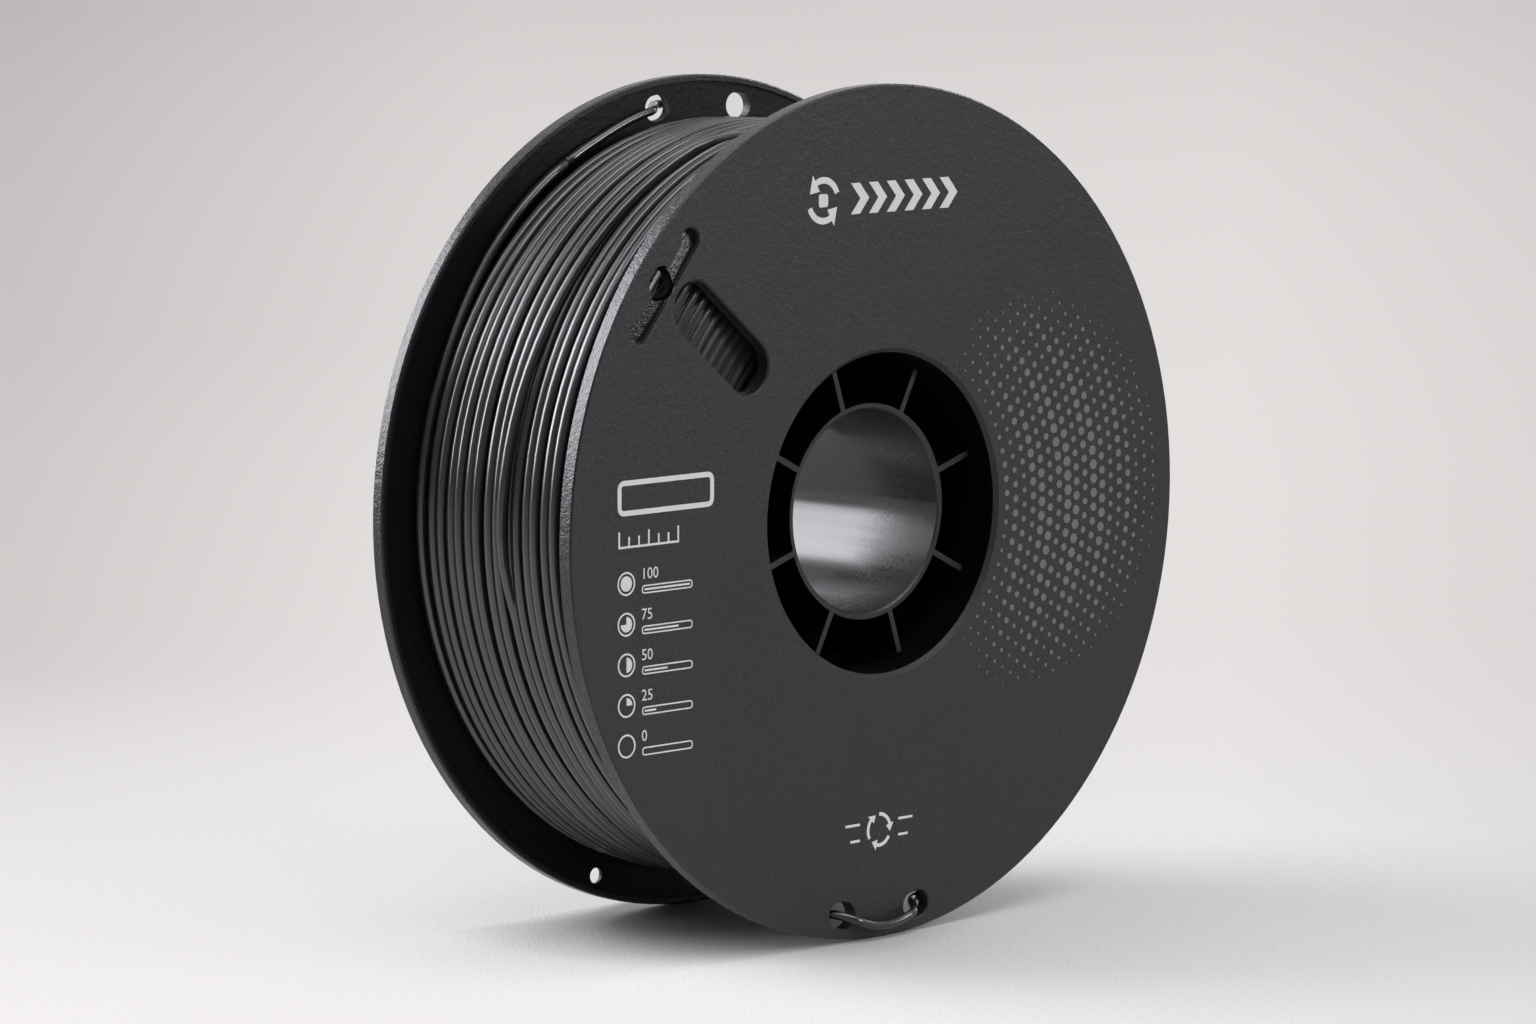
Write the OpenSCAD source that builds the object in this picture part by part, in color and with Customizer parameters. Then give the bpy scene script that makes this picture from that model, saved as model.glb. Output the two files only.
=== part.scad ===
// Reusable filament spool: two moulded halves that twist together round a cardboard refill.
// The spool's axis is Y, the front face looks towards -Y, and the origin is midway between the faces.
// The modules draw with the axis along their own Z, front face up, and in_place() turns them.

/* [Spool] */
// Outside diameter of both flanges
spool_d = 200; // [190:1:210]
// Overall width from face to face
spool_w = 67; // [62:0.5:72]

/* [Flanges] */
// Thickness of the front flange's plate
front_plate_t = 3.2; // [2.8:0.1:3.8]
// Thickness of the rear flange's plate
rear_plate_t = 2.8; // [2.4:0.1:3.4]
// How far the front rim stands in from its plate
front_rim_step = 0.8; // [0.3:0.1:1.2]
// How far the rear rim stands in from its plate
rear_rim_step = 0.6; // [0.3:0.1:1.2]
// Radial height of the band along both rims
rim_band = 1.6; // [1:0.1:1.8]
// Bevel along the edges of both rims
rim_bevel = 0.4; // [0.2:0.1:0.6]

/* [Bore and ribs] */
// Diameter of the bore that runs on the holder
bore_d = 48; // [44:0.5:52]
// Wall of the tube round the bore
bore_wall = 1.4; // [1.2:0.1:2]
// Bevel at both ends of the bore
bore_bevel = 0.4; // [0.2:0.1:0.6]
// Depth of the tube's and the ribs' front ends below the front face
hub_recess = 6; // [4:0.5:9]
// Number of ribs round the tube
rib_count = 8; // [4:1:12]
// Thickness of a rib
rib_t = 1.4; // [1:0.1:2]
// Gap from the ribs' ends to the wall of the hub opening
rib_end_gap = 1.5; // [1:0.1:2]
// Angle of the first rib
rib_angle = 18; // [0:1:44]

/* [Barrels] */
// Diameter of the hub opening and of the socket behind it
hub_opening_d = 75; // [72:0.5:78]
// Bevel round the hub opening
opening_bevel = 1.2; // [0.4:0.1:1.6]
// Wall of the front half's socket barrel
socket_wall = 3; // [2.8:0.1:3.6]
// How far the socket barrel reaches in from the front plate
socket_len = 38; // [34:1:42]
// Wall of the rear half's spigot barrel
spigot_wall = 2.5; // [2:0.1:3]
// How far the spigot reaches into the socket
spigot_len = 24; // [20:1:28]
// Bevel that leads the spigot into the socket
spigot_lead = 0.8; // [0.4:0.1:1.2]
// Radial running gap between spigot and socket
barrel_fit = 0.08; // [0.04:0.01:0.1]
// Gap between the socket's end and the shoulder behind it
seam_gap = 0.2; // [0.1:0.05:0.4]

/* [Twist lock] */
// Number of lugs on the spigot
lug_count = 4; // [2:1:4]
// Arc of a lug in degrees
lug_arc = 12; // [8:1:16]
// Height of a lug above the spigot
lug_height = 1.6; // [1.2:0.1:1.8]
// Length of a lug along the axis
lug_len = 5; // [4:0.5:7]
// Distance from the spigot's end to a lug
lug_setback = 3; // [2:0.5:5]
// Gap round a lug in its channel
lug_gap = 0.3; // [0.2:0.05:0.4]
// Turn from locked to free in degrees
unlock_turn = 25; // [20:1:35]

/* [Refill core] */
// Wall of the cardboard core
core_wall = 3.2; // [2.8:0.1:4]
// Radial gap between core and barrels
core_fit = 0.3; // [0.2:0.05:0.5]
// Gap between the refill's sides and the plates
side_gap = 0.3; // [0.2:0.05:0.5]
// Number of keys that stop the core from turning
key_count = 2; // [1:1:4]
// Width of a key
key_w = 5; // [3:0.5:8]
// Height of a key above the barrel
key_height = 1.2; // [0.8:0.1:1.4]
// Length of a key along the axis
key_len = 8; // [5:0.5:12]
// Thickness of the tag set in each end of the core
tag_t = 0.5; // [0.4:0.1:0.8]
// Radial width of a tag
tag_w = 1.8; // [1.4:0.1:2]
// Arc of a tag in degrees
tag_arc = 50; // [30:5:70]
// Gap round a tag in its recess
tag_gap = 0.1; // [0.05:0.05:0.2]
// Wall left between a tag's recess and the core's outside
tag_margin = 0.4; // [0.3:0.1:0.6]

/* [Filament] */
// Diameter of the filament
filament_d = 2.85; // [2.6:0.05:3]
// Depth from the rim down to the filament
fill_depth = 9.5; // [9:0.5:20]
// Smallest gap between two turns
turn_gap = 0.45; // [0.42:0.01:0.8]
// Gap between the core and the filament wound on it
wind_gap = 0.1; // [0.05:0.05:0.3]
// Gap that keeps soft pieces clear of their neighbours
soft_gap = 0.3; // [0.3:0.05:0.4]
// Angle at which the outer layer starts, at the rear
layer_start = 118; // [116:1:120]
// How far the layer's two ends climb above the layer
end_climb = 2.4; // [2.2:0.1:2.6]

/* [Sight window] */
// Width of the window
window_w = 13; // [10:0.5:14]
// Distance from the rim to the centre of the window's outer end
window_from_rim = 20; // [19:0.5:24]
// Distance from the hub opening to the centre of its inner end
window_from_hub = 20.7; // [16:0.1:24]
// Direction of the window from the axis
window_angle = 140; // [120:1:160]
// Bevel along the window's edge
window_bevel = 0.4; // [0.2:0.1:0.6]
// Width of the ledge round the back of the window
window_ledge = 0.4; // [0.2:0.1:0.6]
// Thickness of that ledge
window_ledge_t = 0.6; // [0.5:0.1:1]

/* [Filament clip] */
// Distance from the rim to the clip's centre line
clip_from_rim = 8.7; // [8.4:0.1:9]
// Length between the centres of the clip's ends
clip_len = 25.6; // [20:0.2:30]
// Width of the clip's shallow recess
clip_w = 5.8; // [5.6:0.1:6]
// Direction of the clip's middle from the axis
clip_angle = 141; // [120:1:160]
// Depth of that recess
clip_recess_depth = 0.3; // [0.2:0.05:0.4]
// Ledge between the recess's edge and what is sunk in it
clip_ledge = 0.3; // [0.2:0.05:0.4]
// Width of the channel in the recess
clip_channel_w = 3.7; // [3.4:0.1:4.2]
// Angle at which the channel's floor falls towards the rim
clip_fall = 10; // [6:0.5:10]
// Depth of the channel past its ends
clip_end_depth = 2.4; // [1.8:0.1:2.4]
// Depth of the channel in its middle
clip_mid_depth = 1.4; // [1:0.1:1.6]
// Diameter of the hole in the clip
clip_hole_d = 6.4; // [5:0.1:6.8]
// Diameter of the pocket round that hole
clip_pocket_d = 8; // [7:0.1:8.4]
// How far the hole lies towards the rim from the recess's centre line
clip_hole_shift = 0.8; // [0.5:0.1:1]

/* [Tie holes] */
// Distance from the rim to the centre of the front tie holes
front_tie_from_rim = 5.6; // [5.4:0.1:5.8]
// Distance from the rim to the centre of the rear tie holes
rear_tie_from_rim = 6.8; // [6.4:0.1:7]
// Radial height of a tie hole
tie_h = 6.2; // [5.8:0.1:6.4]
// Tangential width of a tie hole
tie_w = 8.2; // [8:0.1:9]
// Bevel along a tie hole's edge
tie_bevel = 0.3; // [0.2:0.1:0.5]
// Direction of the front flange's pair
front_tie_angle = -91; // [-95:1:-87]
// Angle between the holes of the front pair
front_tie_spread = 15.1; // [14:0.1:17]
// Direction of the rear flange's pair
rear_tie_angle = 89; // [87:1:93]
// Angle between the holes of the rear pair
rear_tie_spread = 16.5; // [14:0.1:18]
// Diameter of the rear flange's small hole
pilot_d = 3.8; // [2.5:0.1:4]
// Diameter of the small hole's countersink on the rear face
pilot_sink_d = 7.2; // [5:0.1:7.4]
// Depth of that countersink
pilot_sink_depth = 2; // [1:0.1:2]
// Distance from the rim to the centre of the small hole
pilot_from_rim = 4.6; // [4:0.1:5.5]
// Direction of the small hole
pilot_angle = -110; // [-120:1:-100]
// How far the threaded end bows out between the holes
bow = 2.4; // [1.5:0.1:2.4]
// Length of filament left past the last hole, in degrees
tail_arc = 8; // [7:0.5:10]

/* [Hidden] */

$fn = 96;
SHELL_COLOR = [0.24, 0.245, 0.255];
HUB_COLOR = [0.27, 0.275, 0.285];
CARD_COLOR = [0.62, 0.49, 0.35];
TAG_COLOR = [0.85, 0.85, 0.82];
FILAMENT_COLOR = [0.3, 0.315, 0.33];
OVER = 1; // how far a cut runs past the face it opens
MERGE = 0.5; // how deep a joined shape roots in its carrier

spool_r = spool_d / 2;
face_z = spool_w / 2;
front_plate_z = face_z - front_plate_t;
rear_plate_z = rear_plate_t - face_z;

bore_r = bore_d / 2;
tube_r = bore_r + bore_wall;
ring_z = face_z - hub_recess;

socket_r = hub_opening_d / 2;
barrel_r = socket_r + socket_wall;
socket_end_z = front_plate_z - socket_len;
shoulder_z = socket_end_z - seam_gap;
spigot_r = socket_r - barrel_fit;
spigot_in_r = spigot_r - spigot_wall;
spigot_end_z = shoulder_z + spigot_len;
rib_end_r = socket_r - rib_end_gap;

lug_top_z = spigot_end_z - lug_setback;
lug_r = spigot_r + lug_height;
channel_r = lug_r + lug_gap;
lug_gap_arc = lug_gap / spigot_r * 180 / PI;

core_in_r = barrel_r + core_fit;
core_out_r = core_in_r + core_wall;
core_front_z = front_plate_z - side_gap;
core_rear_z = rear_plate_z + side_gap;
core_len = core_front_z - core_rear_z;
tag_in_r = core_out_r - tag_margin - tag_gap - tag_w;
tag_angle = 90;

// The outer layer: one helix from the rear plate to the front plate
TURN_RINGS = 24;
LAYER_SIDES = 6;
END_SIDES = 8;
RING_STEP = 360 / TURN_RINGS;
EXTRA_RINGS = 8; // the part turn that brings the end beside the front tie holes
CLIMB_RINGS = 3; // rings over which an end climbs
filament_r = filament_d / 2;
layer_r = spool_r - fill_depth - filament_r;
end_r = layer_r + end_climb;
layer_rear_z = core_rear_z + filament_r;
layer_front_z = core_front_z - filament_r;
layer_w = layer_front_z - layer_rear_z;
turns = floor(layer_w / (filament_d + turn_gap) - EXTRA_RINGS / TURN_RINGS);
layer_steps = turns * TURN_RINGS + EXTRA_RINGS;
layer_end = layer_start + layer_steps * RING_STEP;
layer_core_r = layer_r * cos(RING_STEP / 2) - filament_r - soft_gap;

// The threaded ends
END_RING_STEP = 1.25; // degrees from ring to ring
CROSS_ARC = 5; // degrees in which an end crosses its plate
front_tie_r = spool_r - front_tie_from_rim;
rear_tie_r = spool_r - rear_tie_from_rim;
front_tie_first = front_tie_angle - front_tie_spread / 2;
front_tie_last = front_tie_angle + front_tie_spread / 2;
rear_tie_used = rear_tie_angle + rear_tie_spread / 2;
front_out_z = face_z + soft_gap + filament_r;
rear_out_z = -front_out_z;

function mix(a, b, t) = a + (b - a) * t;
function ease(t) = t <= 0 ? 0 : t >= 1 ? 1 : t * t * (3 - 2 * t);
function unit(v) = v / norm(v);
function polar(angle, r, z) = [r * cos(angle), r * sin(angle), z];
function along(angle) = [-sin(angle), cos(angle), 0];

// A tube swept along a path that circles the axis, so that the outward direction frames each ring
function tangent(path, i) = unit(path[min(i + 1, len(path) - 1)] - path[max(i - 1, 0)]);
function outward(p) = unit([p[0], p[1], 0]);
function ring_side(t, p) = unit(cross(t, outward(p)));
function ring(p, t, side, r, sides) = [for (k = [0:sides - 1])
    p + r * (cos(360 * k / sides) * cross(side, t) + sin(360 * k / sides) * side)];
function ring_at(path, i, r, sides) =
    ring(path[i], tangent(path, i), ring_side(tangent(path, i), path[i]), r, sides);
function quad(a, b, c, d) = [[a, d, c], [a, c, b]];

module tube(path, r, sides) {
    last = (len(path) - 1) * sides;
    points = [for (i = [0:len(path) - 1]) each ring_at(path, i, r, sides)];
    walls = [for (i = [0:len(path) - 2]) for (k = [0:sides - 1])
        each quad(i * sides + k, i * sides + (k + 1) % sides,
            (i + 1) * sides + (k + 1) % sides, (i + 1) * sides + k)];
    first_cap = [for (k = [1:sides - 2]) [0, k, k + 1]];
    last_cap = [for (k = [1:sides - 2]) [last, last + k + 1, last + k]];
    polyhedron(points, concat(walls, first_cap, last_cap), convexity = 20);
}

// The outer layer's centre line, with a straight run of one diameter at each end
function climb_at(i) = end_climb * (ease(1 - i / CLIMB_RINGS)
    + ease((i - layer_steps + CLIMB_RINGS) / CLIMB_RINGS));
function layer_point(i) = polar(layer_start + i * RING_STEP, layer_r + climb_at(i),
    mix(layer_rear_z, layer_front_z, i / layer_steps));
layer_turns = [for (i = [0:layer_steps]) layer_point(i)];
layer_first = layer_point(0) - filament_d * along(layer_start);
layer_last = layer_point(layer_steps) + filament_d * along(layer_end);
layer_path = concat([layer_first], layer_turns, [layer_last]);

// The least gap between the layer's turns, from every ring to those half a turn and more away
near_rings = [for (i = [0:layer_steps])
    for (j = [i + TURN_RINGS / 2:1:min(i + 2 * TURN_RINGS, layer_steps)])
        norm(layer_turns[i] - layer_turns[j])];
echo(str("turns in the outer layer: ", layer_steps / TURN_RINGS));
echo(str("least gap between turns: ", min(near_rings) - filament_d, " mm"));

// The front end: on from the layer, out through one tie hole, across the face and in at the other
front_end_first = layer_last + soft_gap * along(layer_end);
front_end_second = front_end_first + filament_d * along(layer_end);
front_from = atan2(front_end_second[1], front_end_second[0]) + END_RING_STEP;
front_to = front_tie_last + tail_arc;
function front_end_r(a) =
    a < front_tie_first ? mix(norm([front_end_second[0], front_end_second[1]]), front_tie_r,
        ease((a - front_from) / (front_tie_first - front_from)))
    : a > front_tie_last ? front_tie_r
    : front_tie_r + bow * sin(180 * (a - front_tie_first) / front_tie_spread);
function out_share(a, first, last) =
    ease((a - first) / CROSS_ARC + 0.5) - ease((a - last) / CROSS_ARC + 0.5);
function front_end_z(a) = mix(layer_front_z, front_out_z, out_share(a, front_tie_first, front_tie_last));
front_end_path = concat([front_end_first, front_end_second],
    [for (a = [front_from:END_RING_STEP:front_to]) polar(a, front_end_r(a), front_end_z(a))]);

// The rear end: from the rear face in through a tie hole, and on to where the layer starts
rear_end_last = layer_first - soft_gap * along(layer_start);
rear_end_before = rear_end_last - filament_d * along(layer_start);
rear_from = rear_tie_used - tail_arc;
rear_to = atan2(rear_end_before[1], rear_end_before[0]) - END_RING_STEP / 2;
function rear_end_r(a) = mix(rear_tie_r, norm([rear_end_before[0], rear_end_before[1]]),
    ease((a - rear_tie_used) / (rear_to - rear_tie_used)));
function rear_end_z(a) = mix(rear_out_z, layer_rear_z, ease((a - rear_tie_used) / CROSS_ARC + 0.5));
rear_end_path = concat(
    [for (a = [rear_from:END_RING_STEP:rear_to]) polar(a, rear_end_r(a), rear_end_z(a))],
    [rear_end_before, rear_end_last]);

module in_place() {
    rotate([90, 0, 0]) children();
}

// A round-ended outline along X
module stadium(length, w) {
    square([length, w], center = true);
    for (x = [-length / 2, length / 2]) translate([x, 0]) circle(d = w);
}

// A round-ended slot along X, cut down from z = 0 with a bevelled mouth
module slot_cut(length, w, depth, bevel) {
    for (x = [-length / 2, length / 2]) {
        translate([x, 0, -depth]) cylinder(d = w, h = depth + OVER);
        translate([x, 0, -bevel]) cylinder(r1 = w / 2, r2 = w / 2 + bevel, h = bevel);
    }
    translate([-length / 2, -w / 2, -depth]) cube([length, w, depth + OVER]);
    translate([-length / 2, 0, 0]) rotate([90, 0, 90]) linear_extrude(length)
        polygon([[-w / 2, -bevel], [w / 2, -bevel], [w / 2 + bevel, 0], [-w / 2 - bevel, 0]]);
}

// The two tie holes of one flange, cut through its plate; the near mouth is at z = 0
module tie_cuts(direction, spread, r, plate_t) {
    for (side = [-1, 1])
        rotate(direction + side * spread / 2) translate([r, 0, 0]) rotate(90)
            slot_cut(tie_w - tie_h, tie_h, plate_t + OVER, tie_bevel);
}

// The window, a little narrower at its back
module window_cut() {
    inner = socket_r + window_from_hub;
    outer = spool_r - window_from_rim;
    rotate(window_angle) translate([(inner + outer) / 2, 0, 0]) {
        slot_cut(outer - inner, window_w, front_plate_t - window_ledge_t, window_bevel);
        translate([0, 0, -front_plate_t - OVER]) linear_extrude(front_plate_t + OVER)
            stadium(outer - inner, window_w - 2 * window_ledge);
    }
}

// The clip: a shallow recess along the rim, in it a channel whose floor rises to the hole in its middle
module clip_cut() {
    reach = clip_len / 2 + clip_w;
    sunk_w = clip_w - 2 * clip_ledge;
    rotate(clip_angle) translate([spool_r - clip_from_rim, 0, 0]) rotate(90) {
        translate([0, 0, -clip_recess_depth]) linear_extrude(clip_recess_depth + OVER)
            stadium(clip_len, clip_w);
        intersection() {
            translate([0, 0, -front_plate_t]) linear_extrude(front_plate_t + OVER) {
                translate([-clip_len / 2, sunk_w / 2 - clip_channel_w]) square([clip_len, clip_channel_w]);
                for (x = [-clip_len / 2, clip_len / 2]) translate([x, 0]) circle(d = sunk_w);
                translate([0, -clip_hole_shift]) circle(d = clip_pocket_d);
            }
            rotate([clip_fall, 0, 0]) translate([0, reach, 0]) rotate([90, 0, 0])
                linear_extrude(2 * reach)
                    polygon([[-reach, reach], [-reach, -clip_end_depth], [0, -clip_mid_depth],
                        [reach, -clip_end_depth], [reach, reach]]);
        }
        translate([0, -clip_hole_shift, -front_plate_t - OVER])
            cylinder(d = clip_hole_d, h = front_plate_t + 2 * OVER);
    }
}

// The way of one lug: in from the socket's end, then round to the lock
module channel_cut() {
    channel_z = lug_top_z - lug_len - lug_gap;
    channel_h = lug_len + 2 * lug_gap;
    span = lug_arc + 2 * lug_gap_arc;
    rotate(-lug_arc / 2 - lug_gap_arc - unlock_turn) {
        rotate_extrude(angle = span + unlock_turn) translate([socket_r - MERGE, channel_z])
            square([channel_r - socket_r + MERGE, channel_h]);
        rotate_extrude(angle = span) translate([socket_r - MERGE, socket_end_z - OVER])
            square([channel_r - socket_r + MERGE, channel_z + MERGE - socket_end_z + OVER]);
    }
}

module front_half() {
    rim_z = front_plate_z - front_rim_step;
    color(SHELL_COLOR) in_place() difference() {
        rotate_extrude() polygon([
            [socket_r + opening_bevel, face_z],
            [spool_r - rim_bevel, face_z],
            [spool_r, face_z - rim_bevel],
            [spool_r, rim_z + rim_bevel],
            [spool_r - rim_bevel, rim_z],
            [spool_r - rim_band, rim_z],
            [spool_r - rim_band, front_plate_z],
            [barrel_r, front_plate_z],
            [barrel_r, socket_end_z],
            [socket_r, socket_end_z],
            [socket_r, face_z - opening_bevel]
        ]);
        translate([0, 0, face_z]) {
            window_cut();
            clip_cut();
            tie_cuts(front_tie_angle, front_tie_spread, front_tie_r, front_plate_t);
        }
        for (i = [0:lug_count - 1]) rotate(rib_angle + i * 360 / lug_count) channel_cut();
    }
}

module rear_flange() {
    rim_z = rear_plate_z + rear_rim_step;
    rotate_extrude() polygon([
        [bore_r + bore_bevel, -face_z],
        [spool_r - rim_bevel, -face_z],
        [spool_r, -face_z + rim_bevel],
        [spool_r, rim_z - rim_bevel],
        [spool_r - rim_bevel, rim_z],
        [spool_r - rim_band, rim_z],
        [spool_r - rim_band, rear_plate_z],
        [bore_r, rear_plate_z],
        [bore_r, -face_z + bore_bevel]
    ]);
}

module rear_barrel() {
    rotate_extrude() polygon([
        [spigot_in_r, rear_plate_z - MERGE],
        [barrel_r, rear_plate_z - MERGE],
        [barrel_r, shoulder_z],
        [spigot_r, shoulder_z],
        [spigot_r, spigot_end_z - spigot_lead],
        [spigot_r - spigot_lead, spigot_end_z],
        [spigot_in_r, spigot_end_z]
    ]);
}

// The bore tube and its ribs, which end level with each other at the front
module hub_star() {
    start = tube_r - bore_wall / 2;
    difference() {
        translate([0, 0, rear_plate_z - MERGE]) linear_extrude(ring_z - rear_plate_z + MERGE) {
            difference() {
                union() {
                    circle(tube_r);
                    for (i = [0:rib_count - 1]) rotate(rib_angle + i * 360 / rib_count)
                        translate([start, -rib_t / 2]) square([rib_end_r - start, rib_t]);
                }
                circle(bore_r);
            }
        }
        translate([0, 0, ring_z - bore_bevel])
            cylinder(r1 = bore_r, r2 = bore_r + 2 * bore_bevel, h = 2 * bore_bevel);
    }
}

module lug() {
    rotate(-lug_arc / 2) rotate_extrude(angle = lug_arc)
        translate([spigot_r - MERGE, lug_top_z - lug_len]) square([lug_height + MERGE, lug_len]);
}

module core_key(grow) {
    translate([barrel_r - MERGE, -key_w / 2 - grow, rear_plate_z - MERGE])
        cube([key_height + MERGE + grow, key_w + 2 * grow, key_len + MERGE + grow]);
}

module core_keys(grow) {
    for (i = [0:key_count - 1]) rotate(i * 360 / key_count) core_key(grow);
}

module rear_half() {
    color(HUB_COLOR) in_place() difference() {
        union() {
            rear_flange();
            rear_barrel();
            hub_star();
            for (i = [0:lug_count - 1]) rotate(rib_angle + i * 360 / lug_count) lug();
            core_keys(0);
        }
        translate([0, 0, -face_z]) mirror([0, 0, 1])
            tie_cuts(rear_tie_angle, rear_tie_spread, rear_tie_r, rear_plate_t);
        rotate(pilot_angle) translate([spool_r - pilot_from_rim, 0, -face_z]) {
            translate([0, 0, -OVER]) cylinder(d = pilot_d, h = rear_plate_t + 2 * OVER);
            cylinder(d1 = pilot_sink_d, d2 = pilot_d, h = pilot_sink_depth);
        }
    }
}

module tag_shape(grow) {
    spare = grow / tag_in_r * 180 / PI;
    rotate(tag_angle - tag_arc / 2 - spare) rotate_extrude(angle = tag_arc + 2 * spare)
        translate([tag_in_r - grow, -tag_t]) square([tag_w + 2 * grow, tag_t + grow]);
}

module refill_core() {
    color(CARD_COLOR) in_place() difference() {
        translate([0, 0, core_rear_z]) cylinder(r = core_out_r, h = core_len);
        translate([0, 0, core_rear_z - OVER]) cylinder(r = core_in_r, h = core_len + 2 * OVER);
        core_keys(core_fit);
        translate([0, 0, core_front_z]) tag_shape(tag_gap);
        translate([0, 0, core_rear_z]) mirror([0, 0, 1]) tag_shape(tag_gap);
    }
}

module id_tag_front() {
    color(TAG_COLOR) in_place() translate([0, 0, core_front_z]) tag_shape(0);
}

module id_tag_rear() {
    color(TAG_COLOR) in_place() translate([0, 0, core_rear_z]) mirror([0, 0, 1]) tag_shape(0);
}

module filament_inner_layers() {
    wound_in_r = core_out_r + wind_gap;
    color(FILAMENT_COLOR) in_place() rotate_extrude()
        translate([wound_in_r, core_rear_z]) square([layer_core_r - wound_in_r, core_len]);
}

module filament_outer_layer() {
    color(FILAMENT_COLOR) in_place() tube(layer_path, filament_r, LAYER_SIDES);
}

module filament_end_front() {
    color(FILAMENT_COLOR) in_place() tube(front_end_path, filament_r, END_SIDES);
}

module filament_end_rear() {
    color(FILAMENT_COLOR) in_place() tube(rear_end_path, filament_r, END_SIDES);
}

front_half();
rear_half();
refill_core();
id_tag_front();
id_tag_rear();
filament_inner_layers();
filament_outer_layer();
filament_end_front();
filament_end_rear();
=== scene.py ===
"""Looks for the reusable filament spool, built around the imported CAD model."""

import math
import random

import bpy
import numpy as np
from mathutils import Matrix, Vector


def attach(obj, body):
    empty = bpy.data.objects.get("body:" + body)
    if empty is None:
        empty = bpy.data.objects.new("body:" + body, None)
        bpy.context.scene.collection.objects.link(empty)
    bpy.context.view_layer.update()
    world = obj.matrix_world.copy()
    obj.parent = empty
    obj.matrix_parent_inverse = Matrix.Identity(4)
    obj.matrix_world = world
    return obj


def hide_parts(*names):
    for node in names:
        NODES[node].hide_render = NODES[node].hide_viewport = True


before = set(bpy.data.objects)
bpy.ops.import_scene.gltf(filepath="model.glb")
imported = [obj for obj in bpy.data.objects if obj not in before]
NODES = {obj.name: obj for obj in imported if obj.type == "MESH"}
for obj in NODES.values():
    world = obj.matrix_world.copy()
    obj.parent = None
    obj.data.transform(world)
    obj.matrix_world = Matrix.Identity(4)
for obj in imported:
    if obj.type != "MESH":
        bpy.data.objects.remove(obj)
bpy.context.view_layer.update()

MM = 0.001
TAU = 2 * math.pi

# Sizes in millimetres and arcs in degrees. The spool's axis is Y and its front face looks to -Y.
# These are the sizes of the CAD source.
SPOOL_R = 100.0
FACE = 33.5
REACH = 36.65
CORE_R = 44.0
CORE_FRONT = 30.0
CORE_REAR = -30.4
WOUND_IN_R = 44.1
LAYER_CORE_R = 86.59
LAYER_R = 89.075
LAYER_START = 118.0
END_CLIMB = 2.4
CLIMB_ARC = 45.0
SOFT_GAP = 0.3
FRONT_TIE_R = 94.4
REAR_TIE_R = 93.2
FRONT_TIES = (-98.55, -83.45)
REAR_TIE = 97.25
CROSS_ARC = 5.0
TAIL_ARC = 8.0
BOW = 2.4

# These are the scene's own: the filament is drawn thinner than in the CAD and thinner still at its
# two ends, and its outer layer has one turn more, which ends at the same angle.
FILAMENT_R = 1.25
FILAMENT_D = 2 * FILAMENT_R
END_R = 1.05
LAYER_TURNS = 18 + 1 / 3
LAYER_REAR = CORE_REAR + FILAMENT_R
LAYER_FRONT = CORE_FRONT - FILAMENT_R
FRONT_OUT = REACH - END_R


# ---------------------------------------------------------------- camera, floor and light

PHOTO_SIZE = (1536, 1024)
FOCAL_PX = 6250.5
SENSOR = 36.0
CAMERA_AT = Vector((-1.03588, -1.04345, 0.17354))
CAMERA_AZ = math.radians(-44.645)
CAMERA_EL = math.radians(6.827)


def add_object(name, data):
    obj = bpy.data.objects.new(name, data)
    bpy.context.scene.collection.objects.link(obj)
    return obj


def make_camera():
    data = bpy.data.cameras.new("camera")
    data.sensor_width = SENSOR
    data.lens = FOCAL_PX * SENSOR / PHOTO_SIZE[0]
    data.clip_start = 0.05
    data.clip_end = 60
    cam = add_object("camera", data)
    a, e = CAMERA_AZ, CAMERA_EL
    look = Vector((-math.sin(a) * math.cos(e), math.cos(a) * math.cos(e), -math.sin(e)))
    cam.rotation_mode = "QUATERNION"
    cam.rotation_quaternion = look.to_track_quat("-Z", "Y")
    cam.location = CAMERA_AT
    bpy.context.scene.camera = cam


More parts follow.
